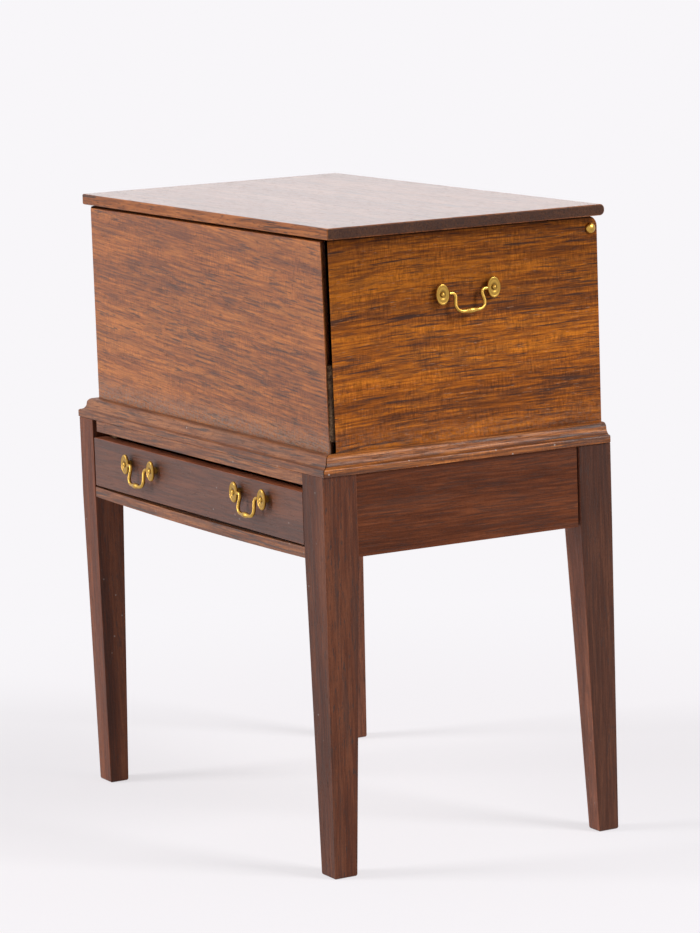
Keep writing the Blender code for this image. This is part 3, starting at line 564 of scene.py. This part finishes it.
def dark_streaks(board, place, turn, look):
    """Short dark streaks that gather in places, over fainter broad ones and a soft brown veil."""
    cluster = board.cloud(board.stretched(place, turn, CLUSTER_SIZE, CLUSTER_SHIFT), *SMOOTH)
    pull = (cluster - CLOUD_MIDDLE) * CLUSTER_PULL
    fine = board.cloud(board.stretched(place, turn, look["streak_size"]), *STREAKY)
    broad = board.cloud(board.stretched(place, turn, BROAD_STREAK_SIZE), *STREAKY)
    fine = board.between(fine + pull, *look["streak_fade"])
    dark = fine | board.between(broad + pull, *BROAD_STREAK_FADE) * look["broad_streak"]
    if look["veil"]:
        veil = board.cloud(board.stretched(place, turn, VEIL_SIZE, VEIL_SHIFT), *WISPY)
        dark = dark | board.between(veil + pull, *VEIL_FADE) * look["veil"]
    return dark


def dusted(board, still, colour, share):
    """Scattered specks of dust."""
    cells = {"Vector": board.stretched(still, GRAINS["across"], DUST_CELL), "Scale": 1.0}
    spot = board.node("ShaderNodeTexVoronoi", None, cells, "Distance")
    lot = board.node("ShaderNodeTexVoronoi", None, cells, "Color")
    few = board.between(board.node("ShaderNodeSeparateXYZ", None, {0: lot}), *DUST_FEW)
    return board.mixed(board.between(spot, *DUST_SPOT) * few * share, colour, DUST_COLOUR)


def foot_dusted(board, still, turn, height, colour, share):
    """Grey dust held in the corner above the moulding."""
    low = board.between(height, *FOOT_DUST_FADE)
    grains = board.cloud(board.stretched(still, turn, FOOT_DUST_SIZE), *DUSTY)
    return board.mixed(low * board.between(grains, *FOOT_DUST_GRAINS) * share, colour, FOOT_DUST_COLOUR)


def waxed(board, sockets, facing, pore, tone, look):
    """Wax with a little dust in it on the broad top face. The edges stay bare."""
    wax = {
        "Coat Weight": look["polish"] * (1.0 - pore * WAX_WORN),
        "Coat Roughness": WAX_ROUGH,
        "Sheen Weight": look["sheen"],
        "Sheen Tint": SHEEN_TINT,
    }
    top = board.node("ShaderNodeBsdfPrincipled", None, {**sockets, **wax})
    bare = board.node("ShaderNodeBsdfPrincipled", None, sockets)
    up = board.node("ShaderNodeSeparateXYZ", None, {0: facing}, "Z")
    share = board.between(up, *TOP_FADE) * (1.0 - pore * WAX_PORES - (1.0 - tone) * WAX_GRAIN)
    return board.node("ShaderNodeMixShader", None, {0: share, 1: bare, 2: top})


def walnut(name, turn, look):
    material = bpy.data.materials.new(name)
    board = Board(material)
    still = board.node("ShaderNodeTexCoord", output="Object")
    place = wandering(board, still, turn, look)
    colour, speckle, tone = grain_tone(board, still, place, turn, look)
    streak = dark_streaks(board, place, turn, look)
    colour = board.mixed(streak * look["streak"], colour, STREAK_COLOUR)
    pore = board.between(board.cloud(board.stretched(place, turn, PORE_SIZE), *SMOOTH), *PORE_FADE)
    colour = board.mixed(pore * look["pore"], colour, PORE_COLOUR)
    # Painted glints: pale dashes along the grain, as light caught by raised grain
    if look["painted_glint"]:
        painted_glint = board.cloud(board.stretched(place, turn, GLINT_SIZE, GLINT_SHIFT), *SMOOTH)
        colour = board.mixed(board.between(painted_glint, *GLINT_FADE) * look["painted_glint"], colour, GLINT_COLOUR)

    facing = board.node("ShaderNodeTexCoord", output="Normal")
    end = abs(board.towards(facing, Euler(turn).to_matrix() @ Vector((1.0, 0.0, 0.0))))
    cut = board.scaled(END_COLOUR, (speckle - CLOUD_MIDDLE) * END_SPECKLE + 1.0)
    colour = board.mixed(board.between(end, *END_FADE) * look["end_dark"], colour, cut)
    # Painted light: faces turned one way are painted paler, as if more light reached them
    if look["painted_light"]:
        painted_light = board.between(board.towards(facing, look["painted_light_face"]), *PAINTED_LIGHT_FADE)
        colour = board.scaled(colour, 1.0 + painted_light * look["painted_light"])
    edge = board.node("ShaderNodeAttribute", {"attribute_name": "arris"}, output="Fac")
    colour = board.scaled(colour, 1.0 + edge * ARRIS_LIGHT)
    height = board.node("ShaderNodeSeparateXYZ", None, {0: still}, "Z")
    # Painted shade under the lid, with darker wood: the colour darkens towards the top
    if look["top_shade_and_dark_wood"]:
        colour = board.scaled(colour, 1.0 - board.between(height, *TOP_SHADE_AND_DARK_WOOD_FADE) * look["top_shade_and_dark_wood"])
    # Painted shadow: the top edge of the side is darkened where the gap under the lid is in shade
    if look["painted_seam_shadow"]:
        colour = board.scaled(colour, 1.0 - board.between(height, *SEAM_SHADOW_FADE) * look["painted_seam_shadow"])
    if look["foot_dust"]:
        colour = foot_dusted(board, still, turn, height, colour, look["foot_dust"])
    if look["dust"]:
        colour = dusted(board, still, colour, look["dust"])

    relief = 1.0 - streak * STREAK_HOLLOW - pore * PORE_HOLLOW + speckle * SPECKLE_RISE
    hollow = {"Strength": BUMP_STRENGTH, "Distance": BUMP_DEPTH, "Height": relief}
    sockets = {
        "Base Color": colour,
        "Roughness": look["rough"] + (speckle - CLOUD_MIDDLE) * SPECKLE_ROUGH + pore * PORE_ROUGH,
        "Specular IOR Level": look["gloss"],
        "Normal": board.node("ShaderNodeBump", None, hollow),
    }
    if look["polish"]:
        wood = waxed(board, sockets, facing, pore, tone, look)
    else:
        wood = board.node("ShaderNodeBsdfPrincipled", None, sockets)
    board.node("ShaderNodeOutputMaterial", None, {"Surface": wood})
    return material


def grain_of(node):
    if node == "case_front":
        return "tilted"
    if node.startswith("leg"):
        return "upright"
    if node.startswith(DEEP_GRAIN):
        return "deep"
    return "across"


WOODS = {}


def look_of(node):
    for start, look in OTHER_LOOKS.items():
        if node.startswith(start):
            return look
    return SLOT_OF[node]


def wood_for(node):
    look = look_of(node)
    name = look + "_" + grain_of(node)
    if name not in WOODS:
        WOODS[name] = walnut(name, GRAINS[grain_of(node)], {**PLAIN, **LOOKS[look]})
    return WOODS[name]


BRASS_BOXES = [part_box(node) for node, slot in SLOT_OF.items() if slot == "brass"]


def under_brass(point):
    """True at the rim of a hole that a brass pin fills and its head covers."""
    for low, high in BRASS_BOXES:
        if all(low[i] - UNDER_BRASS < point[i] < high[i] + UNDER_BRASS for i in range(3)):
            return True
    return False


def merged_copy(node):
    """A copy of a CAD node's solid with its loose triangles joined and its flat faces whole."""
    form = bmesh.new()
    form.from_mesh(frame["nodes"][node].data)
    bmesh.ops.remove_doubles(form, verts=form.verts, dist=MERGE_UNDER)
    bmesh.ops.dissolve_limit(form, angle_limit=FLAT_UNDER, verts=form.verts, edges=form.edges)
    return form


def shade_round(form):
    """Smooth shading, broken at the creases."""
    for face in form.faces:
        face.smooth = True
    for edge in form.edges:
        if len(edge.link_faces) == 2 and edge.calc_face_angle() > CREASE_OVER:
            edge.smooth = False


def eased_copy(node):
    """A copy of a CAD node's solid with its long sharp edges taken off."""
    form = merged_copy(node)
    worn = form.faces.layers.float.new("arris")
    sharp = []
    for edge in form.edges:
        if len(edge.link_faces) == 2 and edge.calc_face_angle_signed() > SHARP_OVER:
            if not under_brass((edge.verts[0].co + edge.verts[1].co) / 2):
                sharp.append(edge)
    eased = bmesh.ops.bevel(
        form,
        geom=sharp,
        offset=ARRIS,
        offset_type="OFFSET",
        affect="EDGES",
        segments=ARRIS_STEPS,
        profile=0.5,
        material=-1,
        clamp_overlap=True,
    )
    for face in eased["faces"]:
        face[worn] = 1.0
    shade_round(form)
    return form


def evened(made):
    """Shading that keeps the broad faces flat and rounds only the eased edges."""
    even = made.modifiers.new("even_faces", "WEIGHTED_NORMAL")
    even.keep_sharp = True


def wooden_pieces():
    for node, slot in SLOT_OF.items():
        if slot not in ("brass", "filler"):
            evened(stand_in(node, eased_copy(node), wood_for(node)))


BRASS_COLOUR = (0.56, 0.33, 0.068)
TARNISH_COLOUR = (0.1, 0.056, 0.014)
TARNISH_SIZE = (0.9, 0.9, 0.9)
TARNISH_FADE = (0.45, 0.75)
TARNISH_SHARE = 0.5
RECESS_SHARE = 0.75
BRASS_ROUGH = 0.29
TARNISH_ROUGH = 0.2


def brass():
    material = bpy.data.materials.new("old_brass")
    board = Board(material)
    still = board.node("ShaderNodeTexCoord", output="Object")
    spots = board.cloud(board.stretched(still, GRAINS["across"], TARNISH_SIZE), *RAGGED)
    recess = board.node("ShaderNodeAttribute", {"attribute_name": "recess"}, output="Fac")
    tarnish = board.between(spots, *TARNISH_FADE) * TARNISH_SHARE | recess * RECESS_SHARE
    sockets = {
        "Base Color": board.mixed(tarnish, BRASS_COLOUR, TARNISH_COLOUR),
        "Metallic": 1.0,
        "Roughness": BRASS_ROUGH + tarnish * TARNISH_ROUGH,
    }
    metal = board.node("ShaderNodeBsdfPrincipled", None, sockets)
    board.node("ShaderNodeOutputMaterial", None, {"Surface": metal})
    return material


# Sizes of the brass, in mm, as in the solids but with the fine turning of the real ones
GLUE = 0.02
PULL_SPACING = 7.55
ROSETTE_HALF_WIDTH = 0.94
ROSETTE_HALF_HEIGHT = 1.4
ROSETTE_BOSS = 0.5
ROSETTE_BACK = 0.6
ROSETTE_FRONT = 0.97
ROSETTE_SEAT = 0.87
ROSETTE_TURNING = (
    (0.05, ROSETTE_BACK),
    (0.0, ROSETTE_BACK + 0.06),
    (0.0, ROSETTE_FRONT - 0.14),
    (0.03, ROSETTE_FRONT - 0.05),
    (0.08, ROSETTE_FRONT),
    (0.13, ROSETTE_FRONT - 0.02),
    (0.18, ROSETTE_FRONT - 0.045),
    (0.24, ROSETTE_FRONT - 0.05),
    (0.31, ROSETTE_FRONT - 0.035),
    (0.38, ROSETTE_FRONT - 0.025),
    (0.45, ROSETTE_FRONT - 0.035),
    (0.52, ROSETTE_FRONT - 0.08),
    (0.58, ROSETTE_SEAT),
)
ROSETTE_SIDES = 56
PIN_RADIUS = 0.15
PIN_DEPTH = 1.3
PIN_HEAD_RADIUS = 0.29
PIN_HEAD_HEIGHT = 0.26
PIN_SIDES = 28
HINGE_PIN_RADIUS = 0.3
HINGE_PIN_DEPTH = 3.0
HINGE_HEAD_RADIUS = 0.73
HINGE_HEAD_HEIGHT = 0.55
HINGE_SIDES = 40
DOME_STEPS = 8
BAIL_STAND_OFF = 0.78
BAIL_END_RADIUS = 0.09
BAIL_ARM_RADIUS = 0.24
BAIL_GRIP_RADIUS = 0.39
BAIL_END_GAP = 0.56
BAIL_SHOULDER = 2.79
BAIL_SHOULDER_WIDTH = 0.03
BAIL_NECK = 2.4
BAIL_THROAT = 1.97
BAIL_THROAT_DROP = 0.45
BAIL_BELLY = 2.12
BAIL_BELLY_DROP = 1.6
BAIL_FOOT = 1.1
BAIL_DROP = 2.46
BAIL_BEND_STEPS = 9
BAIL_SIDES = 20
FACING_FRONT = 0.0
FACING_RIGHT = math.radians(90.0)
FACING_LEFT = math.radians(-90.0)
RIGHT_HANDLE_TILT = math.radians(-2.4)
RIGHT_HANDLE_SWING = math.radians(12.0)
DRAWER_PULL_SWING = math.radians(10.0)


def turned(profile, sides):
    """A turned solid about the Y axis from radius and place along it; both ends lie on the axis."""
    form = bmesh.new()
    last = None
    for radius, y in profile:
        point = form.verts.new((radius * MM, y * MM, 0.0))
        if last:
            form.edges.new((last, point))
        last = point
    bmesh.ops.spin(
        form,
        geom=form.verts[:] + form.edges[:],
        cent=(0.0, 0.0, 0.0),
        axis=(0.0, 1.0, 0.0),
        dvec=(0.0, 0.0, 0.0),
        angle=2.0 * math.pi,
        steps=sides,
        use_merge=True,
    )
    bmesh.ops.remove_doubles(form, verts=form.verts, dist=MERGE_UNDER)
    bmesh.ops.recalc_face_normals(form, faces=form.faces)
    return form


def rosette():
    """An oval ringed plate on a round boss, facing -Y. The rings grow rounder towards the middle."""
    profile = [(0.0, -GLUE), (ROSETTE_BOSS, -GLUE), (ROSETTE_BOSS, -ROSETTE_BACK)]
    profile += [(ROSETTE_HALF_WIDTH - inward, -out) for inward, out in ROSETTE_TURNING]
    profile.append((0.0, -ROSETTE_SEAT))
    form = turned(profile, ROSETTE_SIDES)
    recess = form.verts.layers.float.new("recess")
    longer = ROSETTE_HALF_HEIGHT - ROSETTE_HALF_WIDTH
    for vert in form.verts:
        out = -vert.co.y / MM
        radius = math.hypot(vert.co.x, vert.co.z) / MM
        on_plate = out > ROSETTE_BACK - GLUE and radius > ROSETTE_BOSS + GLUE
        if on_plate or out > ROSETTE_SEAT - GLUE:
            vert.co.z *= 1.0 + longer * radius / ROSETTE_HALF_WIDTH
            if radius < ROSETTE_HALF_WIDTH - GLUE:
                vert[recess] = min(1.0, max(0.0, (ROSETTE_FRONT - out) / (ROSETTE_FRONT - ROSETTE_SEAT)))
    return form


def domed_pin(radius, depth, foot, head_radius, head_height, sides):
    """A round-headed pin facing -Y; its shank goes into the wood and its head stands on the foot."""
    profile = [(0.0, depth), (radius, depth), (radius, -foot), (head_radius, -foot)]
    for step in range(1, DOME_STEPS):
        turn = math.pi / 2 * step / DOME_STEPS
        profile.append((head_radius * math.cos(turn), -foot - head_height * math.sin(turn)))
    profile.append((0.0, -foot - head_height))
    return turned(profile, sides)


def bend(centre, half_wide, half_high, start, stop):
    """Places on a quarter of an oval, in the plane of the bail."""
    places = []
    for step in range(BAIL_BEND_STEPS + 1):
        turn = math.radians(start + (stop - start) * step / BAIL_BEND_STEPS)
        places.append((centre[0] + half_wide * math.cos(turn), centre[1] + half_high * math.sin(turn)))
    return places


def gentle(share):
    """A share from 0 to 1 that starts and stops gently."""
    return (1.0 - math.cos(math.pi * share)) / 2


def bail_half():
    """From the end in the rosette to the middle of the grip: reach, height and radius of the wire."""
    neck = bend((BAIL_NECK, -BAIL_THROAT_DROP), BAIL_NECK - BAIL_THROAT, BAIL_THROAT_DROP, 90, 180)
    swell = []
    for step in range(1, BAIL_BEND_STEPS):
        share = step / BAIL_BEND_STEPS
        x = BAIL_THROAT + (BAIL_BELLY - BAIL_THROAT) * gentle(share)
        swell.append((x, -BAIL_THROAT_DROP - (BAIL_BELLY_DROP - BAIL_THROAT_DROP) * share))
    belly = bend((BAIL_FOOT, -BAIL_BELLY_DROP), BAIL_BELLY - BAIL_FOOT, BAIL_DROP - BAIL_BELLY_DROP, 0, -90)
    route = [(PULL_SPACING / 2 - BAIL_END_GAP, 0.0, BAIL_END_RADIUS)]
    route.append((BAIL_SHOULDER + BAIL_SHOULDER_WIDTH, 0.0, BAIL_END_RADIUS))
    route.append((BAIL_SHOULDER, 0.0, BAIL_ARM_RADIUS))
    route += [(x, z, BAIL_ARM_RADIUS) for x, z in neck + swell + belly]
    for step in range(1, BAIL_BEND_STEPS + 1):
        share = step / BAIL_BEND_STEPS
        radius = BAIL_ARM_RADIUS + (BAIL_GRIP_RADIUS - BAIL_ARM_RADIUS) * gentle(share)
        route.append((BAIL_FOOT * (1.0 - share), -BAIL_DROP, radius))
    return route


def bail():
    """A round wire drawn along its route, thicker at the grip."""
    half = bail_half()
    route = [(-x, z, radius) for x, z, radius in half] + half[-2::-1]
    stations = []
    for i, (x, z, radius) in enumerate(route):
        before = route[max(i - 1, 0)]
        after = route[min(i + 1, len(route) - 1)]
        along = Vector((after[0] - before[0], 0.0, after[1] - before[1])).normalized()
        across = Vector((along.z, 0.0, -along.x))
        turn = Matrix((across, Vector((0.0, 1.0, 0.0)), along)).transposed().to_4x4()
        place = Matrix.Translation(Vector((x, 0.0, z)) * MM)
        stations.append(place @ turn @ Matrix.Scale(radius * MM, 4))
    form = bmesh.new()
    bmesh.ops.create_circle(form, cap_ends=False, segments=BAIL_SIDES, radius=1.0)
    bmesh.ops.transform(form, matrix=stations[0], verts=form.verts)
    first = form.edges[:]
    ring = first
    for before, after in zip(stations, stations[1:]):
        drawn = bmesh.ops.extrude_edge_only(form, edges=ring)["geom"]
        ends = [item for item in drawn if isinstance(item, bmesh.types.BMVert)]
        bmesh.ops.transform(form, matrix=after @ before.inverted(), verts=ends)
        edges = [item for item in drawn if isinstance(item, bmesh.types.BMEdge)]
        ring = [edge for edge in edges if set(edge.verts) <= set(ends)]
    bmesh.ops.edgeloop_fill(form, edges=first)
    bmesh.ops.edgeloop_fill(form, edges=ring)
    bmesh.ops.recalc_face_normals(form, faces=form.faces)
    return form


def put(node, form, place, material):
    """A brass piece set at its place and shaded round."""
    bmesh.ops.transform(form, matrix=place, verts=form.verts)
    shade_round(form)
    stand_in(node, form, material)


def foot_on_wood(node, facing):
    """Where the middle of a brass piece's foot meets the wood."""
    low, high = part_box(node)
    foot = (low + high) / 2
    if facing == FACING_FRONT:
        foot.y = high.y + GLUE * MM
    elif facing == FACING_RIGHT:
        foot.x = low.x - GLUE * MM
    else:
        foot.x = high.x + GLUE * MM
    return foot


def pull(name, facing, material, tilt=0.0, swing=0.0):
    """Rosettes, pins and bail. Tilt turns the pull on its face and swing holds the bail out from it."""
    turn = Matrix.Rotation(facing, 4, "Z") @ Matrix.Rotation(tilt, 4, "Y")
    feet = []
    for word in ("left", "right"):
        foot = foot_on_wood(f"{name}_rosette_{word}", facing)
        place = Matrix.Translation(foot) @ turn
        put(f"{name}_rosette_{word}", rosette(), place, material)
        seat = ROSETTE_SEAT + GLUE
        pin = domed_pin(PIN_RADIUS, PIN_DEPTH, seat, PIN_HEAD_RADIUS, PIN_HEAD_HEIGHT, PIN_SIDES)
        put(f"{name}_pin_{word}", pin, place, material)
        feet.append(foot)
    stand_off = Matrix.Translation(Vector((0.0, -BAIL_STAND_OFF * MM, 0.0)))
    hung = turn @ stand_off @ Matrix.Rotation(-swing, 4, "X")
    put(f"{name}_bail", bail(), Matrix.Translation((feet[0] + feet[1]) / 2) @ hung, material)


def hinge_pin(node, facing, material):
    low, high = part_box(node)
    middle = (low + high) / 2
    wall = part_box(node.replace("hinge_pin", "case_side"))
    middle.x = wall[1].x if facing == FACING_RIGHT else wall[0].x
    head = (HINGE_HEAD_RADIUS, HINGE_HEAD_HEIGHT)
    pin = domed_pin(HINGE_PIN_RADIUS, HINGE_PIN_DEPTH, GLUE, *head, HINGE_SIDES)
    put(node, pin, Matrix.Translation(middle) @ Matrix.Rotation(facing, 4, "Z"), material)


def brass_pieces():
    material = brass()
    pull("handle_left", FACING_LEFT, material)
    pull("handle_right", FACING_RIGHT, material, RIGHT_HANDLE_TILT, RIGHT_HANDLE_SWING)
    pull("drawer_pull_left", FACING_FRONT, material, swing=DRAWER_PULL_SWING)
    pull("drawer_pull_right", FACING_FRONT, material, swing=DRAWER_PULL_SWING)
    hinge_pin("hinge_pin_left", FACING_LEFT, material)
    hinge_pin("hinge_pin_right", FACING_RIGHT, material)


# The strip of filler in the open corner of the case
FILLER_CUTS = 14
FILLER_LUMP = 0.09 * MM
FILLER_LUMP_SIZE = 0.7 * MM
FILLER_SEED = 7


def filler():
    """A rough strip: the solid cut finer and pushed about."""
    node = "case_corner_filler"
    form = merged_copy(node)
    tall = []
    for edge in form.edges:
        if abs(edge.verts[0].co.z - edge.verts[1].co.z) > FILLER_LUMP_SIZE:
            tall.append(edge)
    bmesh.ops.subdivide_edges(form, edges=tall, cuts=FILLER_CUTS, use_grid_fill=True)
    noise.seed_set(FILLER_SEED)
    for vert in form.verts:
        push = noise.noise_vector(vert.co / FILLER_LUMP_SIZE)
        vert.co += Vector((push.x, push.y, 0.0)) * FILLER_LUMP
    bmesh.ops.triangulate(form, faces=form.faces)
    for face in form.faces:
        face.smooth = True
    stand_in(node, form, wood_for(node))


camera()
air()
floor()
for lamp_name, (lamp_azimuth, lamp_elevation, lamp_level) in LAMPS.items():
    lamp(lamp_name, lamp_azimuth, lamp_elevation, lamp_level)
wooden_pieces()
brass_pieces()
filler()

bpy.context.scene.view_settings.view_transform = "Standard"
